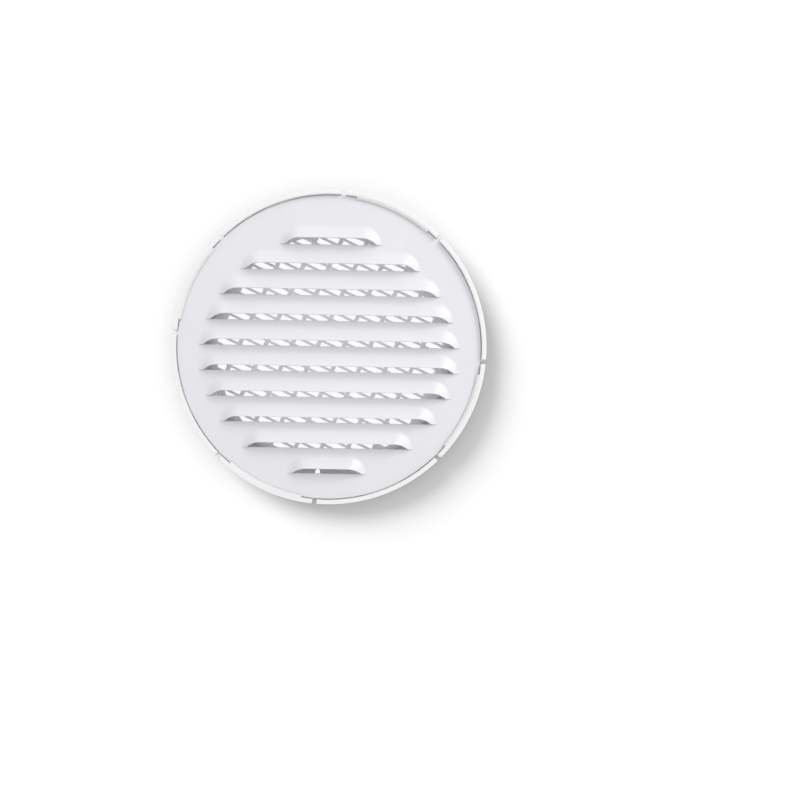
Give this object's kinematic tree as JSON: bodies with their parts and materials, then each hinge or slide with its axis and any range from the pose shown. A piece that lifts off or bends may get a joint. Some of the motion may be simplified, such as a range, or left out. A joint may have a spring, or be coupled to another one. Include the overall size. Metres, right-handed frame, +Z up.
{
  "type": "round vent cover",
  "caption": "Round wall vent cover: a white sheet-metal plate with pressed louvres, snapped into a white plastic ring that carries an insect mesh behind it.",
  "frame": {"origin": "on the cover's round axis, in the plane of the wall that the flange lies against", "axes": "+Y points into the wall along the axis, the louvred front faces -Y, and +Z is up, so the louvres open downwards"},
  "size_m": [0.15, 0.0176, 0.15],
  "materials": {
    "coated_sheet": "white powder coat, satin, with a faint orange-peel texture",
    "white_plastic": "white moulded plastic, satin"
  },
  "bodies": {
    "root": {"louvre_plate": "coated_sheet", "mesh_frame": "white_plastic"}
  },
  "joints": []
}
